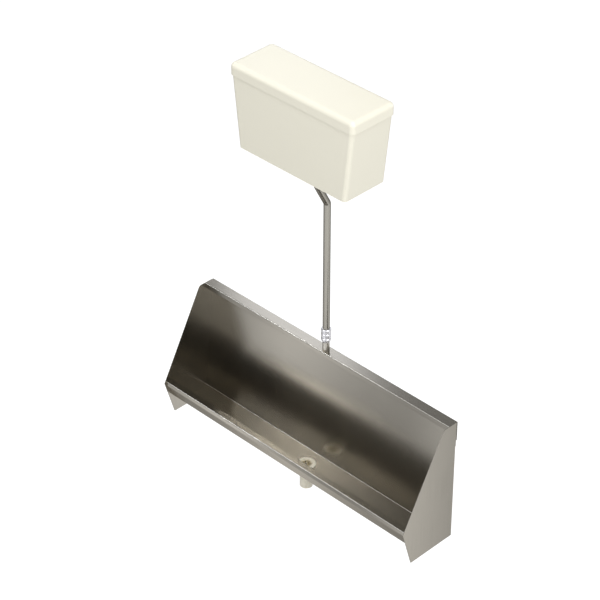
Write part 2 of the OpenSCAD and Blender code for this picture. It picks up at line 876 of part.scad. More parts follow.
// Cistern body, drawn from its own base
module cistern_body() {
    front = -cistern_d;
    back = -cistern_gap;
    wall_x = cistern_wall / cos(draft);
    inner_r = cistern_corner_r - cistern_wall;
    inner_back = back - cistern_wall;
    inner_front = front + cistern_wall;
    shoulder = cistern_h + shoulder_rise;
    rim = rim_top - cistern_z;
    color(pale_plastic)
        translate([0, 0, cistern_z])
            difference() {
                union() {
                    slanted_box(0, shoulder, cistern_base_w / 2, back, front, cistern_corner_r);
                    translate([0, 0, shoulder - e])
                        linear_extrude(rim - shoulder + e)
                            plan(collar_half, back - collar_step, front + collar_step,
                                cistern_corner_r - collar_step);
                    for (x = [-1, 1] * cistern_pitch / 2) {
                        wall_boss(x, cistern_hole_h, boss_r);
                        wall_boss(x, foot_boss_h, foot_boss_r);
                    }
                    petcock_pad();
                }
                difference() {
                    slanted_box(cistern_floor, shoulder - collar_step, half_at(cistern_floor) - wall_x,
                        inner_back, inner_front, inner_r);
                    petcock_pad();
                }
                translate([0, 0, shoulder - collar_step - e])
                    linear_extrude(rim - shoulder + collar_step + 2 * e)
                        plan(collar_half - cistern_wall, inner_back - collar_step, inner_front + collar_step,
                            inner_r - collar_step);
                translate([0, -outlet_d, -e])
                    cylinder(r = siphon_tail_r + hole_gap, h = cistern_floor + 2 * e);
                for (x = [-1, 1] * cistern_pitch / 2)
                    translate([x, e, cistern_hole_h])
                        rotate([90, 0, 0])
                            cylinder(r = cistern_hole_r, h = cistern_gap + cistern_wall + 2 * e);
                translate([-pad_out - e, cistern_mid, petcock_h])
                    rotate([0, 90, 0])
                        cylinder(r = petcock_tail_r + hole_gap, h = pad_t + 2 * e);
            }
}

module wall_boss(x, h, r) {
    translate([x, 0, h])
        rotate([90, 0, 0])
            cylinder(r = r, h = cistern_gap + e);
}

// Upright pad on the slanting end, through which the petcock's tail passes
module petcock_pad() {
    translate([-pad_out, cistern_mid, petcock_h])
        rotate([0, 90, 0])
            cylinder(r = pad_r, h = pad_t);
}

// Plan outline with four rounded corners
module plan(half, y_back, y_front, r) {
    rounded_outline([[-half, y_back], [-half, y_front], [half, y_front], [half, y_back]], [r, r, r, r]);
}

// A block that stands on its base, with its upright corners and top edges rounded alike
module rounded_block(half, y_back, y_front, h, r) {
    inset = half - r;
    deep = y_back - y_front;
    translate([-half, y_front + r, 0])
        cube([2 * half, deep - 2 * r, h - r]);
    translate([-inset, y_front, 0])
        cube([2 * inset, deep, h - r]);
    translate([-inset, y_front + r, 0])
        cube([2 * inset, deep - 2 * r, h]);
    for (y = [y_front + r, y_back - r])
        translate([-inset, y, h - r])
            rotate([0, 90, 0])
                cylinder(r = r, h = 2 * inset);
    for (x = [-inset, inset])
        translate([x, y_front + r, h - r])
            rotate([-90, 0, 0])
                cylinder(r = r, h = deep - 2 * r);
    for (x = [-inset, inset], y = [y_front + r, y_back - r]) {
        translate([x, y, 0])
            cylinder(r = r, h = h - r);
        translate([x, y, h - r])
            sphere(r);
    }
}

// Lid, drawn from its lower edge
module cistern_lid() {
    half = cistern_top_w / 2 + lid_over;
    back = -lid_wall_gap;
    front = -cistern_d - lid_over;
    inside_h = lid_h - lid_wall;
    inner = half - lid_wall;
    inner_back = back - lid_wall;
    inner_front = front + lid_wall;
    inner_r = lid_r - lid_wall;
    rib_foot = rim_top - lid_z;
    color(pale_plastic)
        translate([0, 0, lid_z]) {
            difference() {
                rounded_block(half, back, front, lid_h, lid_r);
                translate([0, 0, -e])
                    rounded_block(inner, inner_back, inner_front, inside_h + e, inner_r);
            }
            for (i = [0 : lid_ribs - 1]) {
                rib_x = ((2 * i + 1) / lid_ribs - 1) * (inner - lid_r);
                translate([rib_x - lid_rib_t / 2, inner_front - e, rib_foot])
                    intersection() {
                        cube([lid_rib_t, inner_back - inner_front + 2 * e, inside_h - rib_foot + e]);
                        translate([0, -inner_front + e, -rib_foot])
                            along_x(0, lid_rib_t)
                                rounded_outline([[inner_back + e, 0], [inner_back + e, inside_h + e],
                                    [inner_front - e, inside_h + e], [inner_front - e, 0]],
                                    [0, lid_r, lid_r, 0]);
                    }
            }
        }
}

// Automatic siphon: standpipe under a bell
module siphon_standpipe() {
    bore = pipe_r + hole_gap;
    up = standpipe_r - siphon_wall;
    flange = bell_r + 4;
    lip = mouth_flare - siphon_wall / 2;
    color(white_nylon)
        translate([0, -outlet_d, 0])
            rotate_extrude()
                polygon([[bore, tail_z], [siphon_tail_r, tail_z], [siphon_tail_r, siphon_flange_z],
                    [flange, siphon_flange_z], [flange, bell_z], [standpipe_r, bell_z],
                    [standpipe_r, mouth_z - mouth_h], [standpipe_r + mouth_flare, mouth_z],
                    [standpipe_r + lip, mouth_z], [up, mouth_z - mouth_h + 1], [up, bell_z],
                    [bore, siphon_flange_z]]);
}

module dome_profile(r, h, shoulder) {
    square([r - shoulder, h]);
    square([r, h - shoulder]);
    intersection() {
        translate([r - shoulder, h - shoulder])
            circle(shoulder);
        square([r, h]);
    }
}

module siphon_bell() {
    color(white_nylon)
        translate([0, -outlet_d, bell_z])
            difference() {
                union() {
                    rotate_extrude()
                        dome_profile(bell_r, bell_h, bell_shoulder);
                    translate([0, 0, bell_h])
                        cylinder(r = starter_r + 3, h = socket_h);
                }
                translate([0, 0, -e])
                    rotate_extrude()
                        dome_profile(bell_r - siphon_wall, bell_h - siphon_wall + e,
                            bell_shoulder - siphon_wall);
                translate([0, 0, bell_h - siphon_wall - e])
                    cylinder(r = starter_r + rubber_gap, h = socket_h + siphon_wall + 2 * e);
                for (turn = [0, 90])
                    rotate([0, 0, turn]) {
                        translate([-port_w / 2, -bell_r - e, -e])
                            cube([port_w, 2 * (bell_r + e), port_h - port_w / 2 + e]);
                        translate([0, bell_r + e, port_h - port_w / 2])
                            rotate([90, 0, 0])
                                cylinder(r = port_w / 2, h = 2 * (bell_r + e));
                    }
            }
}

module siphon_starter_tube() {
    bend = 9;
    over = bell_r + starter_r + 6 - 2 * bend;
    down = bell_h - 4 - joint_h;
    up = 50 - joint_h;
    color(white_nylon)
        translate([0, -outlet_d, bell_z + bell_h])
            rotate([0, 0, 180])
                bent_tube([12, over - joint_h, down, joint_h, up], [90, 90, -90, -90], bend, starter_r, 1.2);
}

module siphon_seal() {
    color(black_rubber)
        translate([0, -outlet_d, 0])
            ring(siphon_tail_r + rubber_gap, siphon_tail_r + 14, cistern_inside, siphon_seal_t);
}

module siphon_washer() {
    color(black_rubber)
        translate([0, -outlet_d, 0])
            ring(siphon_tail_r + rubber_gap, siphon_tail_r + 9, cistern_z - washer_t, washer_t);
}

module siphon_backnut() {
    color(white_nylon)
        translate([0, -outlet_d, cistern_z - washer_t - backnut_h])
            difference() {
                cylinder(r = (siphon_tail_r + 8) / cos(30), h = backnut_h, $fn = 6);
                translate([0, 0, -e])
                    cylinder(r = siphon_tail_r + thread_gap, h = backnut_h + 2 * e);
            }
}

module flush_pipe_nut() {
    outer = siphon_tail_r + 5;
    high = tail_z + pipe_nut_grip - pipe_nut_z;
    color(white_nylon)
        translate([0, -outlet_d, pipe_nut_z])
            difference() {
                union() {
                    cylinder(r = outer, h = high);
                    for (i = [0 : 7])
                        rotate([0, 0, i * 45])
                            translate([outer, 0, 0])
                                cylinder(r = 2.5, h = high);
                }
                translate([0, 0, -e])
                    cylinder(r = pipe_r + slip_gap, h = high);
                translate([0, 0, nut_floor])
                    cylinder(r = siphon_tail_r + thread_gap, h = high);
            }
}

module flush_pipe_seal() {
    color(black_rubber)
        translate([0, -outlet_d, pipe_nut_z + nut_floor + seat_gap / 2])
            ring(pipe_r + rubber_gap, siphon_tail_r - rubber_gap, 0, pipe_seal_h);
}

// Petcock
module petcock_place() {
    translate([-pad_out, cistern_mid, petcock_z])
        rotate([0, 0, 180])
            children();
}

module x_rod(x, r, h) {
    translate([x, 0, 0])
        rotate([0, 90, 0])
            cylinder(r = r, h = h);
}

module petcock_body() {
    nut_end_x = washer_t + petcock_nut_t;
    tail = nut_end_x + petcock_free;
    thread_x = nut_end_x + 1;
    flange_x = -pad_t - washer_t - petcock_flange_t;
    nozzle_x = plug_x - nozzle_out;
    block_x = nozzle_x - nozzle_r - 0.5;
    color(brass)
        petcock_place()
            difference() {
                union() {
                    x_rod(flange_x, petcock_neck_r, tail - flange_x);
                    x_rod(thread_x, petcock_tail_r, tail - thread_x);
                    x_rod(flange_x, petcock_flange_r, petcock_flange_t);
                    x_rod(block_x, barrel_r - 1, flange_x - block_x);
                    translate([plug_x, 0, -barrel_half])
                        cylinder(r = barrel_r, h = 2 * barrel_half);
                    translate([nozzle_x, 0, -nozzle_l])
                        cylinder(r = nozzle_r, h = nozzle_l);
                }
                x_rod(nozzle_x, water_r, tail - nozzle_x + e);
                translate([nozzle_x, 0, -nozzle_l - e])
                    cylinder(r = water_r, h = nozzle_l + e);
                translate([plug_x, 0, -barrel_half])
                    cylinder(r1 = plug_r - plug_taper + plug_gap, r2 = plug_r + plug_taper + plug_gap,
                        h = 2 * barrel_half);
            }
}

module petcock_plug() {
    hub_z = barrel_half + plug_neck_h;
    color(brass)
        petcock_place()
            translate([plug_x, 0, 0])
                difference() {
                    union() {
                        translate([0, 0, -barrel_half])
                            cylinder(r1 = plug_r - plug_taper, r2 = plug_r + plug_taper, h = 2 * barrel_half);
                        translate([0, 0, barrel_half])
                            cylinder(r = plug_r - 1, h = plug_neck_h);
                        translate([0, 0, hub_z])
                            cylinder(r = plug_r + 0.5, h = plug_hub_h);
                        translate([0, 0, hub_z + plug_hub_h / 2])
                            x_rod(-handle_l / 2, handle_r, handle_l);
                        for (side = [-1, 1])
                            translate([side * handle_l / 2, 0, hub_z + plug_hub_h / 2])
                                sphere(handle_end_r);
                        translate([0, 0, -barrel_half - plug_screw_l])
                            cylinder(r = plug_screw_r, h = plug_screw_l);
                    }
                    x_rod(-plug_r - 2, water_r, 2 * plug_r + 4);
                }
}

module petcock_plug_nut() {
    color(brass)
        petcock_place()
            translate([plug_x, 0, -barrel_half - seat_gap - plug_nut_t - plug_collar_t])
                difference() {
                    union() {
                        cylinder(r = 2 * plug_screw_r, h = plug_nut_t, $fn = 6);
                        translate([0, 0, plug_nut_t])
                            cylinder(r = plug_r + 1.5, h = plug_collar_t);
                    }
                    translate([0, 0, -e])
                        cylinder(r = plug_screw_r + plug_gap, h = plug_nut_t + plug_collar_t + 2 * e);
                }
}

module petcock_washers() {
    color(black_rubber)
        petcock_place()
            for (x = [0, -pad_t - washer_t])
                translate([x, 0, 0])
                    rotate([0, 90, 0])
                        ring(petcock_neck_r + rubber_gap, petcock_washer_r, 0, washer_t);
}

module petcock_backnut() {
    color(brass)
        petcock_place()
            difference() {
                translate([washer_t, 0, 0])
                    rotate([0, 90, 0])
                        cylinder(r = petcock_flange_r, h = petcock_nut_t, $fn = 6);
                x_rod(washer_t - e, petcock_neck_r + thread_gap, petcock_nut_t + 2 * e);
            }
}

left_end_panel();
right_end_panel();
trough_pan();
top_shelf();
wall_rail();
wall_spacers();
sparge_pipe();
sparge_end_caps();
sparge_straps();
inlet_spigot();
coupling_lower_nut();
coupling_body();
coupling_upper_nut();
coupling_seals();
flush_pipe();
waste_body();
waste_grid();
waste_screw();
waste_top_seal();
waste_lower_washer();
waste_backnut();
cistern_body();
cistern_lid();
siphon_standpipe();
siphon_bell();
siphon_starter_tube();
siphon_seal();
siphon_washer();
siphon_backnut();
flush_pipe_nut();
flush_pipe_seal();
petcock_body();
petcock_plug();
petcock_plug_nut();
petcock_washers();
petcock_backnut();
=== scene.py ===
# %% [markdown]
# # A wall-hung urinal trough under a high-level cistern
# A folded stainless trough hangs on a wall rail. A cranked pipe brings the flushing
# water down from a plastic cistern. The solids come packed from the construction
# model, in metres and in their places, so this script only dresses them, lights them
# and looks at them.

import math

import bpy
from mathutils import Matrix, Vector


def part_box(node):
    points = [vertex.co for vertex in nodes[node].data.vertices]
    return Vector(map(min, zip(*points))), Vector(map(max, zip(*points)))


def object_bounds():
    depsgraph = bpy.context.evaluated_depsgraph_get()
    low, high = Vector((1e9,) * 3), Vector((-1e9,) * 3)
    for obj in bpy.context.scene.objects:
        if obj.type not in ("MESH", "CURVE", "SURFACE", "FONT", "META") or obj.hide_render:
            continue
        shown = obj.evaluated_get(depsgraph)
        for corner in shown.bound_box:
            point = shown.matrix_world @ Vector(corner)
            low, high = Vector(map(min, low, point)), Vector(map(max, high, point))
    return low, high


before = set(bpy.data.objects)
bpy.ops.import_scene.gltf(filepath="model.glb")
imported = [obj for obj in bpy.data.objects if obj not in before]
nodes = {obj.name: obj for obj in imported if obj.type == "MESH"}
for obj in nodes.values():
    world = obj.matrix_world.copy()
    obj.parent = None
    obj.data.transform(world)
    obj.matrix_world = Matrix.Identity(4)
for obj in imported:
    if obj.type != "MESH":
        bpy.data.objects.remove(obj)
size_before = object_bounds()

# %% [markdown]
# ## The camera
# The picture was taken with a long lens from the front right and from above, along
# the diagonal of a cube. The camera could be dragged about until it fits, but three
# equal steps right, forward and up give exactly that direction. So it is placed from
# a point on the object, one direction and one distance. A field of view of 15 degrees
# keeps the far end nearly as large as the near one. The lens follows from that angle
# and the width of the sensor in millimetres.

# %% Place the camera
LOOK_AT = Vector((0.0, -0.1517, 0.3906))
CAMERA_DISTANCE = 7.759
FIELD_OF_VIEW = math.radians(15)
SENSOR_WIDTH = 36
scene = bpy.context.scene
camera_back = Vector((1, -1, 1)).normalized()

camera_data = bpy.data.cameras.new("camera")
camera_data.sensor_width = SENSOR_WIDTH
camera_data.lens = SENSOR_WIDTH / 2 / math.tan(FIELD_OF_VIEW / 2)
camera = bpy.data.objects.new("camera", camera_data)
scene.collection.objects.link(camera)
camera.location = LOOK_AT + camera_back * CAMERA_DISTANCE
camera.rotation_euler = (-camera_back).to_track_quat("-Z", "Y").to_euler()
scene.camera = camera
print("camera at", [round(v, 3) for v in camera.location], "lens", round(camera_data.lens, 1), "mm")

# %% [markdown]
# ## How the node graphs are written
# A material is a graph of nodes, and each input of a node holds either a plain value
# or a link from another node. Written out one by one, the links hide what the graph
# does. So one helper feeds an input with whichever it is given, and the others stand
# on it. Then a graph reads nearly like a sum.

# %% Helpers: nodes and sums
def feed(tree, socket, source):
    if isinstance(source, bpy.types.NodeSocket):
        tree.links.new(source, socket)
    else:
        socket.default_value = source


def add_node(tree, kind, **inputs):
    node = tree.nodes.new(kind)
    for name, source in inputs.items():
        feed(tree, node.inputs[name.replace("_", " ")], source)
    return node


def operation_on(tree, kind, operation, sources):
    node = tree.nodes.new(kind)
    node.operation = operation
    for socket, source in zip(node.inputs, sources):
        feed(tree, socket, source)
    return node.outputs


def worked_out(tree, operation, *sources):
    return operation_on(tree, "ShaderNodeMath", operation, sources)["Value"]


# %% [markdown]
# An effect that several finishes share is built once, as a node group with named
# inputs and outputs. It could be copied into each material instead, but then a later
# change would have to be made in every copy. The helper makes an empty group and
# hands back its inputs and outputs, ready to be joined.

# %% Helper: an empty node group
def new_group(name, inputs, outputs):
    group = bpy.data.node_groups.new(name, "ShaderNodeTree")
    for socket, kind, value in inputs:
        made = group.interface.new_socket(socket, in_out="INPUT", socket_type=kind)
        made.default_value = value
    for socket, kind in outputs:
        group.interface.new_socket(socket, in_out="OUTPUT", socket_type=kind)
    taken_in = group.nodes.new("NodeGroupInput").outputs
    put_out = group.nodes.new("NodeGroupOutput").inputs
    print("group", name, "puts out", [socket for socket, kind in outputs])
    return group, taken_in, put_out


# %% [markdown]
# ## Handled surfaces
# No real surface is the same all over: hands, water and wiping leave it a little
# uneven. That could be painted by hand on each piece, but a cloudy noise does it for
# all of them. It is measured on the object itself, so the clouds stay on a piece that
# moves. The group puts out a soft value around one, and a material multiplies that
# into its colour or its roughness.

# %% Group: soft unevenness
NOISE_MIDDLE = 0.5


def on_object(tree):
    return tree.nodes.new("ShaderNodeTexCoord").outputs["Object"]


uneven, uneven_in, uneven_out = new_group(
    "soft unevenness",
    [("Scale", "NodeSocketFloat", 8.0), ("Amount", "NodeSocketFloat", 0.1)],
    [("Around One", "NodeSocketFloat")],
)
cloud = add_node(uneven, "ShaderNodeTexNoise", Vector=on_object(uneven), Scale=uneven_in["Scale"],
                 Detail=3.0, Roughness=0.55)
off_middle = worked_out(uneven, "SUBTRACT", cloud.outputs["Fac"], NOISE_MIDDLE)
around_one = worked_out(uneven, "MULTIPLY_ADD", off_middle, uneven_in["Amount"], 1.0)
feed(uneven, uneven_out["Around One"], around_one)

# %% [markdown]
# ## Brushing
# The steel is brushed along its length before it is cut and folded. The strokes are
# far too fine to model, and a picture of them would repeat, so they are a noise
# stretched along the grain, three hundred times for the finest. The group serves
# twice in each brushed material. Its height tilts the normal by a hair, and with
# broader strokes it lightens and darkens the colour by a few hundredths.

# %% Group: brushed grain
STROKE_CONTRAST = 0.12


def vector_worked_out(tree, operation, *sources):
    return operation_on(tree, "ShaderNodeVectorMath", operation, sources)["Vector"]


grain, grain_in, grain_out = new_group(
    "brushed grain",
    [("Along", "NodeSocketVector", (1, 0, 0)), ("Length Scale", "NodeSocketFloat", 3.0),
     ("Cross Scale", "NodeSocketFloat", 900.0)],
    [("Height", "NodeSocketFloat"), ("Around One", "NodeSocketFloat")],
)
less_along = worked_out(grain, "SUBTRACT", grain_in["Length Scale"], grain_in["Cross Scale"])
each_way = vector_worked_out(grain, "MULTIPLY_ADD", grain_in["Along"], less_along, grain_in["Cross Scale"])
stretched = vector_worked_out(grain, "MULTIPLY", on_object(grain), each_way)
strokes = add_node(grain, "ShaderNodeTexNoise", Vector=stretched, Scale=1.0, Detail=2.0, Roughness=0.6)
stroke_tone = add_node(grain, "ShaderNodeMapRange", Value=strokes.outputs["Fac"],
                       To_Min=1 - STROKE_CONTRAST / 2, To_Max=1 + STROKE_CONTRAST / 2)
feed(grain, grain_out["Height"], strokes.outputs["Fac"])
feed(grain, grain_out["Around One"], stroke_tone.outputs["Result"])

# %% [markdown]
# ## Painted highlights on the folds
# Each bend of the sheet catches the lamps as a thin light line, and that highlight is
# painted into the colour here. The line could be a strip of mesh with its own colour,
# but the bends are already there as solids. So a mask finds them by the way their
# surface faces. On this trough they turn from level to facing the room: partly up
# and partly forward. Flat sheet faces only one of the two and stays out of the mask.

# %% Group: fold mask
def soft_step(tree, measure, start, end, before=0.0, after=1.0):
    step = add_node(tree, "ShaderNodeMapRange", Value=measure, From_Min=start, From_Max=end,
                    To_Min=before, To_Max=after)
    step.interpolation_type = "SMOOTHSTEP"
    return step.outputs["Result"]


# This mask places the painted highlight on the folds.
fold_mask, fold_in, fold_out = new_group(
    "fold mask",
    [("From", "NodeSocketFloat", 0.42), ("To", "NodeSocketFloat", 0.66)],
    [("On Folds", "NodeSocketFloat")],
)
faces = fold_mask.nodes.new("ShaderNodeTexCoord").outputs["Normal"]
facing = add_node(fold_mask, "ShaderNodeSeparateXYZ", Vector=faces).outputs
upward = soft_step(fold_mask, facing["Z"], fold_in["From"], fold_in["To"])
to_the_room = worked_out(fold_mask, "MULTIPLY", facing["Y"], -1.0)
forward = soft_step(fold_mask, to_the_room, fold_in["From"], fold_in["To"])
feed(fold_mask, fold_out["On Folds"], worked_out(fold_mask, "MULTIPLY", upward, forward))

# %% [markdown]
# ## From groups to materials
# A material starts as an empty graph, takes in the groups with its own values, and
# ends in a shader. The helpers here are what every finish needs: to use a group, to
# make a colour lighter or darker by a factor, to lay one colour or value over another
# through a mask, and to turn a height into a tilted normal.

# %% Helpers: materials
def new_material(name):
    material = bpy.data.materials.new(name)
    material.use_nodes = True
    material.node_tree.nodes.clear()
    return material, material.node_tree


def finish_material(tree, shader):
    add_node(tree, "ShaderNodeOutputMaterial", Surface=shader.outputs[0])


def use_group(tree, group, **inputs):
    node = tree.nodes.new("ShaderNodeGroup")
    node.node_tree = group
    for name, source in inputs.items():
        feed(tree, node.inputs[name.replace("_", " ")], source)
    return node.outputs


# %% Helpers: tones, masks and bumps
def toned(tree, color, factor):
    scale = tree.nodes.new("ShaderNodeVectorMath")
    scale.operation = "SCALE"
    feed(tree, scale.inputs[0], color)
    feed(tree, scale.inputs["Scale"], factor)
    return scale.outputs["Vector"]


def laid_over(tree, data_type, under, over, mask):
    mix = tree.nodes.new("ShaderNodeMix")
    mix.data_type = data_type
    feed(tree, mix.inputs["Factor"], mask)
    feed(tree, mix.inputs["A"], under)
    feed(tree, mix.inputs["B"], over)
    return mix.outputs["Result"]


def bumped(tree, height, depth):
    return add_node(tree, "ShaderNodeBump", Height=height, Strength=1.0, Distance=depth).outputs["Normal"]


# %% [markdown]
# ## Metals
# Brushed metal blurs its reflections across the grain. Modelled grooves would need
# millions of faces for that, and Anisotropic does it with one value. It stretches the
# reflection by the given Tangent, and a quarter turn puts the blur across the strokes.

# %% Brushing a metal
GRAIN_DEPTH = 0.00001
GRAIN_STRETCH = 0.5
QUARTER_TURN = 0.25


def brush(tree, shader, along):
    strokes = use_group(tree, grain, Along=along)
    way = add_node(tree, "ShaderNodeVectorTransform", Vector=along)
    way.vector_type = "VECTOR"
    way.convert_from = "OBJECT"
    way.convert_to = "WORLD"
    feed(tree, shader.inputs["Normal"], bumped(tree, strokes["Height"], GRAIN_DEPTH))
    feed(tree, shader.inputs["Tangent"], way.outputs["Vector"])
    feed(tree, shader.inputs["Anisotropic"], GRAIN_STRETCH)
    feed(tree, shader.inputs["Anisotropic Rotation"], QUARTER_TURN)


# %% [markdown]
# The satin sheet, the polished tube, the plated coupling and the turned brass differ
# in colour, gloss and grain, so one function makes them all. The apron is seen at a
# flat angle. There a plain metal mirrors almost white, and real steel under its film
# of use stays warm, so the Specular Tint is a warm grey. The folds get a lighter
# colour, which is a painted highlight, and a softer gloss than the flat sheet.

# %% A metal finish
EDGE_TINT = (0.92, 0.88, 0.81, 1)
BROAD_LENGTH_SCALE = 5.0
BROAD_CROSS_SCALE = 170.0
FOLD_ROUGHNESS = 0.32


def metal_finish(name, color, roughness, brushed_along=None, fold_highlight=None,
                 cloud_scale=6.0, cloud_amount=0.12):
    material, tree = new_material(name)
    shader = add_node(tree, "ShaderNodeBsdfPrincipled", Metallic=1.0, Specular_Tint=EDGE_TINT)
    soft = use_group(tree, uneven, Scale=cloud_scale, Amount=cloud_amount)["Around One"]
    tone = soft
    if brushed_along:
        broad = use_group(tree, grain, Along=brushed_along, Length_Scale=BROAD_LENGTH_SCALE,
                          Cross_Scale=BROAD_CROSS_SCALE)
        tone = worked_out(tree, "MULTIPLY", soft, broad["Around One"])
        brush(tree, shader, brushed_along)
    sheet = toned(tree, color, tone)
    polish = worked_out(tree, "MULTIPLY", soft, roughness)
    # Painted highlight: the folds get a lighter colour where they face up and forward.
    if fold_highlight:
        on_folds = use_group(tree, fold_mask)["On Folds"]
        sheet = laid_over(tree, "RGBA", sheet, (*fold_highlight, 1), on_folds)
        polish = laid_over(tree, "FLOAT", polish, FOLD_ROUGHNESS, on_folds)
    feed(tree, shader.inputs["Base Color"], sheet)
    feed(tree, shader.inputs["Roughness"], polish)
    finish_material(tree, shader)
    return material


# %% [markdown]
# ## The steel of the trough
# The pan and the shelf are brushed along the trough and have painted highlights on
# their folds. The end panels are cut with the grain upright. The hanger rail, the spray
# tube with its straps and the screw of the waste are the same steel, and too hidden or
# too small for the painted fold highlights. Each solid could have a material of its
# own, but pieces cut from one steel share one, as they do in the workshop.

# %% Material: satin stainless
SATIN = (0.37, 0.35, 0.31)
SATIN_ROUGHNESS = 0.215
# The lighter colour of the painted highlight on the folds.
PAINTED_FOLD_HIGHLIGHT = (0.9, 0.885, 0.85)
ALONG_THE_TROUGH = (1, 0, 0)
UPRIGHT = (0, 0, 1)


def dress(material, *names):
    for name in names:
        slots = nodes[name].material_slots
        for slot in slots:
            slot.material = material
        if not slots:
            nodes[name].data.materials.append(material)
    print(material.name, "on", len(names), "solids")


satin_steel = metal_finish("satin stainless", SATIN, SATIN_ROUGHNESS, ALONG_THE_TROUGH)
dress(satin_steel, "wall_rail", "sparge_pipe", "sparge_straps", "waste_screw")
upright_steel = metal_finish("satin end panel", SATIN, SATIN_ROUGHNESS, UPRIGHT)
dress(upright_steel, "left_end_panel", "right_end_panel")
folded_steel = metal_finish("folded satin sheet", SATIN, SATIN_ROUGHNESS, ALONG_THE_TROUGH, PAINTED_FOLD_HIGHLIGHT)
dress(folded_steel, "trough_pan", "top_shelf")

# %% [markdown]
# ## Tube, spigot, coupling and petcock
# These pieces are drawn, turned or plated, so they have no brushed grain. The drawn
# tube is the glossiest and darkest. The turned spigot is lighter. The plating is a
# bluish white, blurred by fine scratches. The brass has gone dull in the damp, so it
# is the most uneven of these metals.

# %% Material: drawn, turned and plated metals
drawn_tube = metal_finish("polished tube", color=(0.335, 0.32, 0.285), roughness=0.2)
dress(drawn_tube, "flush_pipe")
turned_spigot = metal_finish("turned spigot", color=(0.6, 0.575, 0.52), roughness=0.3, cloud_scale=30.0)
dress(turned_spigot, "inlet_spigot")
bright_plating = metal_finish("bright plating", color=(0.84, 0.84, 0.88), roughness=0.4,
                              cloud_scale=40.0, cloud_amount=0.1)
dress(bright_plating, "coupling_lower_nut", "coupling_body", "coupling_upper_nut")
dull_brass = metal_finish("turned brass", color=(0.62, 0.45, 0.2), roughness=0.3,
                          cloud_scale=60.0, cloud_amount=0.2)
dress(dull_brass, "petcock_body", "petcock_plug", "petcock_plug_nut", "petcock_backnut")

# %% [markdown]
# ## Painted shade in the waste
# The outlet is a hollow, and the shade in it is painted into the colour as a darker
# tan: full in the middle and thinning out towards the flange. It goes by the distance
# from the outlet's own axis, with a noise to make its edge ragged. The axis and the
# radii are measured on the waste grid, so the painted shade follows it.

# %% Measure the outlet
grid_low, grid_high = (Vector(corner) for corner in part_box("waste_grid"))
outlet = (grid_low + grid_high) / 2
grid_radius = (grid_high.x - grid_low.x) / 2
print("grid radius", round(grid_radius * 1000, 1), "mm")

# %% Group: painted shade round the outlet
CLEAR_AT = grid_radius * 1.15
FULL_AT = grid_radius * 0.55
RAGGED_BY = grid_radius * 0.35


def vector_measured(tree, operation, *sources):
    return operation_on(tree, "ShaderNodeVectorMath", operation, sources)["Value"]


# The mask for the painted shade in the outlet's hollow: full near the axis, clear towards the flange.
outlet_shade, outlet_shade_in, outlet_shade_out = new_group(
    "painted shade round the outlet",
    [("Clear Radius", "NodeSocketFloat", CLEAR_AT), ("Full Radius", "NodeSocketFloat", FULL_AT)],
    [("Painted Shade", "NodeSocketFloat")],
)
outlet_shade_place = on_object(outlet_shade)
seen_from_above = vector_worked_out(outlet_shade, "MULTIPLY", outlet_shade_place, (1, 1, 0))
from_axis = vector_measured(outlet_shade, "DISTANCE", seen_from_above, (outlet.x, outlet.y, 0))
patches = add_node(outlet_shade, "ShaderNodeTexNoise", Vector=outlet_shade_place, Scale=90.0, Detail=3.0)
wander = add_node(outlet_shade, "ShaderNodeMapRange", Value=patches.outputs["Fac"],
                  To_Min=-RAGGED_BY, To_Max=RAGGED_BY)
ragged = worked_out(outlet_shade, "ADD", from_axis, wander.outputs["Result"])
painted_outlet_shade = soft_step(outlet_shade, ragged, outlet_shade_in["Clear Radius"], outlet_shade_in["Full Radius"])
feed(outlet_shade, outlet_shade_out["Painted Shade"], painted_outlet_shade)

# %% [markdown]
# ## Moulded plastics and rubber
# Mouldings are even in colour, which drifts by a few hundredths at most, and their
# gloss is soft. A mould that was spark-eroded leaves a very fine texture. It is far
# below a millimetre, so a bump gives it and the mesh stays as it is. One function
# makes them all, with the texture and the painted shade for those that have them.

# %% A moulded finish
MOULD_GRAIN_SCALE = 500.0


def moulded_finish(name, color, roughness, texture=0.0, shade_color=None,
                   cloud_scale=4.0, cloud_amount=0.04):
    material, tree = new_material(name)
    soft = use_group(tree, uneven, Scale=cloud_scale, Amount=cloud_amount)["Around One"]
    skin = toned(tree, color, soft)
    # Painted shade: a darker colour laid over the moulding through the outlet's mask.
    if shade_color:
        outlet_shade_mask = use_group(tree, outlet_shade)["Painted Shade"]
        skin = laid_over(tree, "RGBA", skin, (*shade_color, 1), outlet_shade_mask)
    gloss = worked_out(tree, "MULTIPLY", soft, roughness)
    shader = add_node(tree, "ShaderNodeBsdfPrincipled", Base_Color=skin, Roughness=gloss)
    if texture:
        peel = add_node(tree, "ShaderNodeTexNoise", Vector=on_object(tree), Scale=MOULD_GRAIN_SCALE,
                        Detail=1.0)
        feed(tree, shader.inputs["Normal"], bumped(tree, peel.outputs["Fac"], texture))
    finish_material(tree, shader)
    return material


# %% [markdown]
# The cistern is a warm white with the mould's texture. The waste is a lighter cream
# with painted shade in its outlet, in a darker tan. They are the plastics that show.

# %% Material: cistern and waste
# The darker tan of the painted shade in the outlet's hollow.
OUTLET_SHADE_TAN = (0.42, 0.34, 0.19)
MOULD_TEXTURE = 0.00003
cistern_white = moulded_finish("cistern moulding", color=(0.84, 0.812, 0.69), roughness=0.34,
                               texture=MOULD_TEXTURE)
dress(cistern_white, "cistern_body", "cistern_lid")
waste_cream = moulded_finish("waste moulding", color=(0.96, 0.91, 0.76), roughness=0.3,
                             shade_color=OUTLET_SHADE_TAN)
dress(waste_cream, "waste_body", "waste_grid", "waste_backnut")

# %% [markdown]
# The nylon and the rubber are inside, behind or underneath, and show when the lid is
# off or from below. The siphon and the spacers are plain white nylon, left as they
# come from the mould. The seals are black rubber, matt and more uneven than the rest.

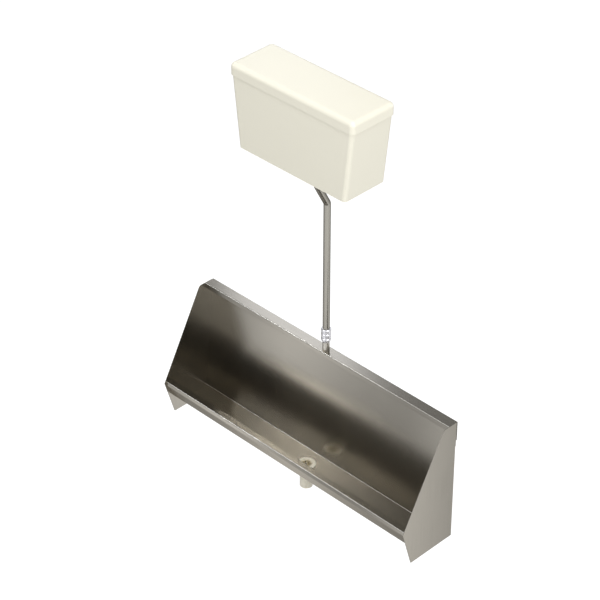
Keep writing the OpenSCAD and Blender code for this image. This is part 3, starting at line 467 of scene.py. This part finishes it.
# %% Material: nylon and rubber
nylon_white = moulded_finish("white nylon", color=(0.8, 0.8, 0.77), roughness=0.42)
dress(nylon_white, "wall_spacers", "siphon_standpipe", "siphon_bell", "siphon_starter_tube",
      "siphon_backnut", "flush_pipe_nut")
seal_rubber = moulded_finish("seal rubber", color=(0.03, 0.03, 0.03), roughness=0.7,
                             cloud_scale=80.0, cloud_amount=0.2)
dress(seal_rubber, "sparge_end_caps", "coupling_seals", "waste_top_seal", "waste_lower_washer",
      "siphon_seal", "siphon_washer", "flush_pipe_seal", "petcock_washers")

# %% [markdown]
# ## The studio floor
# Polished sheet shows mostly what stands round it, so the studio is as much a part
# of the look as the metal. A pale floor lies below the hanging trough. It could curve
# up into a wall behind, but the world is white there anyway, so one plane is enough.
# It is large, which keeps its edge far away.

# %% Floor
FLOOR_BELOW_FOOT = 0.45
FLOOR_SIZE = 40.0
floor_z = size_before[0][2] - FLOOR_BELOW_FOOT
bpy.ops.mesh.primitive_plane_add(size=FLOOR_SIZE, location=(0, 0, floor_z))
floor = bpy.context.object
floor.name = "floor"
print("floor at", round(floor_z, 3))

# %% [markdown]
# The metal mirrors the floor, and in the picture that mirror image has broad diagonal
# stripes, bright and grey by turns, as if grey cards lay on a lit table. Many cards
# could be laid out, but one curve across the diagonal gives the same soft edges and
# is easier to change. A place across it is x less a share of y, in metres, and each
# stop of the curve is such a place with its level.

# %% The stripes on the floor
STRIPE_SLOPE = 0.79
STRIPE_STOPS = ((-1.2, 0.12), (-0.76, 0.26), (-0.56, 0.58), (-0.25, 1.28), (0.0, 0.74), (0.28, 0.31),
                (0.42, 0.22), (0.55, 0.3), (0.67, 0.55), (0.8, 0.93), (1.0, 1.06), (1.2, 1.06))
ANYWHERE = 0.5


def grey(level):
    return (level, level, level, 1)


def floor_stripes(tree, place):
    first = STRIPE_STOPS[0][0]
    last = STRIPE_STOPS[-1][0]
    across = vector_measured(tree, "DOT_PRODUCT", place, (1, -STRIPE_SLOPE, 0))
    share = add_node(tree, "ShaderNodeMapRange", Value=across, From_Min=first, From_Max=last)
    curve = add_node(tree, "ShaderNodeValToRGB", Fac=share.outputs["Result"])
    stops = curve.color_ramp.elements
    while len(stops) < len(STRIPE_STOPS):
        stops.new(ANYWHERE)
    for stop, (place_across, level_there) in zip(stops, STRIPE_STOPS):
        stop.position = (place_across - first) / (last - first)
        stop.color = grey(level_there)
    print("stripes from", len(stops), "stops over", last - first, "m")
    return curve.outputs["Color"]


# %% [markdown]
# The trough keeps light from the floor right below it, and the metal mirrors that
# darker patch too. The lamps' own shadows are soft and wide and fall on the paint
# alone, so the shade in the glow is given outright. It is darkest under the middle
# of the trough and fades out before and behind it.

# %% The shade under the trough
TROUGH_MIDDLE_FROM_WALL = 0.14
SHADE_FULL_WITHIN = 0.05
SHADE_GONE_BEYOND = 0.45
SHADE_LEVEL = 0.55
OPEN_LEVEL = 1.0


def trough_shade(tree, place):
    from_wall = add_node(tree, "ShaderNodeSeparateXYZ", Vector=place).outputs["Y"]
    off_middle = worked_out(tree, "ADD", from_wall, TROUGH_MIDDLE_FROM_WALL)
    either_way = worked_out(tree, "ABSOLUTE", off_middle)
    return soft_step(tree, either_way, SHADE_FULL_WITHIN, SHADE_GONE_BEYOND, SHADE_LEVEL, OPEN_LEVEL)


# %% [markdown]
# The floor's material puts these together. It is a dull grey paint, which takes the
# object's shadow, and a glow by the kind of ray that meets it. The camera sees it
# white, metal and glass see the stripes and the shade, and light that bounces off
# dull surfaces sees no glow at all.

# %% The floor from above
FLOOR_PAINT = 0.35
FLOOR_TO_THE_EYE = 0.9
FLOOR_IN_METAL = 0.85
WHITE = grey(1.0)
floor_material, floor_tree = new_material("pale floor")
on_floor = on_object(floor_tree)
rays = floor_tree.nodes.new("ShaderNodeLightPath").outputs
shaded = worked_out(floor_tree, "MULTIPLY", floor_stripes(floor_tree, on_floor),
                    trough_shade(floor_tree, on_floor))
in_mirrors = worked_out(floor_tree, "MAXIMUM", rays["Is Glossy Ray"], rays["Is Transmission Ray"])
mirror_level = worked_out(floor_tree, "MULTIPLY", in_mirrors, FLOOR_IN_METAL)
mirrored = worked_out(floor_tree, "MULTIPLY", shaded, mirror_level)
strength = worked_out(floor_tree, "MULTIPLY_ADD", rays["Is Camera Ray"], FLOOR_TO_THE_EYE, mirrored)
paint = add_node(floor_tree, "ShaderNodeBsdfDiffuse", Color=grey(FLOOR_PAINT))
glow = add_node(floor_tree, "ShaderNodeEmission", Color=WHITE, Strength=strength)
both = floor_tree.nodes.new("ShaderNodeAddShader")
feed(floor_tree, both.inputs[0], paint.outputs[0])
feed(floor_tree, both.inputs[1], glow.outputs[0])
print("glow", FLOOR_TO_THE_EYE, "to the eye,", FLOOR_IN_METAL, "of the stripes in metal")

# %% [markdown]
# A floor hides the underside of what hangs over it. It could be taken away for views
# from below, but then the script would have to know where the camera is. So the back
# of the plane is simply clear.

# %% The floor from below
clear = floor_tree.nodes.new("ShaderNodeBsdfTransparent")
underside = floor_tree.nodes.new("ShaderNodeNewGeometry").outputs["Backfacing"]
either_side = floor_tree.nodes.new("ShaderNodeMixShader")
feed(floor_tree, either_side.inputs[0], underside)
feed(floor_tree, either_side.inputs[1], both.outputs[0])
feed(floor_tree, either_side.inputs[2], clear.outputs[0])
finish_material(floor_tree, either_side)
floor.data.materials.append(floor_material)
print(floor_material.name, "with", len(floor_tree.nodes), "nodes")

# %% [markdown]
# ## The dark card
# The inner face of the left end panel is darker than the rest, because it mirrors
# something dark that lies in front of the right end. A darker paint would darken that
# panel from every side, so a black card lies there instead, as it would in a real
# studio. Only reflections see it: the camera, dull surfaces and shadows don't.

# %% Dark card
CARD_PLACE = (0.6, -0.8)
CARD_SIZE = (0.8, 0.8)
CARD_ABOVE_FLOOR = 0.001
CARD_PAINT = 0.03
bpy.ops.mesh.primitive_plane_add(size=1, location=(*CARD_PLACE, floor_z + CARD_ABOVE_FLOOR))
card = bpy.context.object
card.name = "dark_card"
card.scale = (*CARD_SIZE, 1)
card.visible_camera = False
card.visible_diffuse = False
card.visible_shadow = False
card_material, card_tree = new_material("dark card")
finish_material(card_tree, add_node(card_tree, "ShaderNodeBsdfDiffuse", Color=grey(CARD_PAINT)))
card.data.materials.append(card_material)
print("card at", CARD_PLACE)

# %% [markdown]
# ## The room round it
# Above the floor there is only the world. A photograph of a studio could stand there,
# but it would put shapes into the steel that nobody chose. One even grey fills the
# shadows and the rest of the reflections, and the camera alone sees it as white.

# %% World
WORLD_LEVEL = 0.32
WORLD_TO_THE_EYE = 1.0
world = bpy.data.worlds.new("studio")
scene.world = world
world.use_nodes = True
sky = world.node_tree
sky.nodes.clear()
to_the_eye = sky.nodes.new("ShaderNodeLightPath").outputs["Is Camera Ray"]
sky_level = laid_over(sky, "FLOAT", WORLD_LEVEL, WORLD_TO_THE_EYE, to_the_eye)
backdrop = add_node(sky, "ShaderNodeBackground", Color=WHITE, Strength=sky_level)
add_node(sky, "ShaderNodeOutputWorld", Surface=backdrop.outputs[0])
print("world at", WORLD_LEVEL, "and white to the eye")

# %% [markdown]
# ## Lamps
# Sun lamps and points would leave hard glints on sheet metal, so every lamp is a
# rectangle that shines softly, like a cloth box on a stand. The shelf mirrors the
# softbox behind, and the trough's floor mirrors the softbox in front. The strip and
# the overhead box light what faces up. The three fills keep the fronts, the right
# sides and the back from going dark.

# %% A soft lamp
def soft_lamp(name, place, aim, size, watts, tint=(1, 1, 1)):
    data = bpy.data.lights.new(name, "AREA")
    data.shape = "RECTANGLE"
    data.size, data.size_y = size
    data.energy = watts
    data.color = tint
    lamp = bpy.data.objects.new(name, data)
    scene.collection.objects.link(lamp)
    lamp.location = place
    lamp.rotation_euler = (Vector(aim) - Vector(place)).to_track_quat("-Z", "Y").to_euler()
    lamp.visible_camera = False
    print(name, watts, "W")


# %% Lamps
COOL = (0.95, 0.98, 1.06)
soft_lamp("softbox behind", (-1.9, 1.7, 1.9), aim=(0, 0, 0.2), size=(0.65, 1.6), watts=5.2, tint=COOL)
soft_lamp("softbox in front", (-2.2, -2.0, 2.2), aim=(0, -0.1, -0.3), size=(0.3, 0.6), watts=9.5)
soft_lamp("strip", (-1.6, 0.1, 2.6), aim=(0, -0.1, 0.3), size=(2.0, 0.5), watts=7)
soft_lamp("overhead", (0.8, -0.6, 3.2), aim=(0, 0, 0.3), size=(2.5, 2.5), watts=46)
soft_lamp("fill from the right", (4.6, -1.2, 1.2), aim=(0, 0, 0.6), size=(2.0, 2.0), watts=114)
soft_lamp("fill from the front", (-0.3, -4.3, 1.6), aim=(0, 0, 0.8), size=(2.0, 2.0), watts=53)
soft_lamp("fill from the back", (1.5, 4.5, 1.0), aim=(0, 0, 0.5), size=(2.0, 2.0), watts=30)

# %% [markdown]
# ## Colours as they are written
# The Standard view leaves the colours as the materials give them, where a filmic view
# would grey the whites and wash out the plastic.

# %% View
scene.view_settings.view_transform = "Standard"
print("view", scene.view_settings.view_transform)
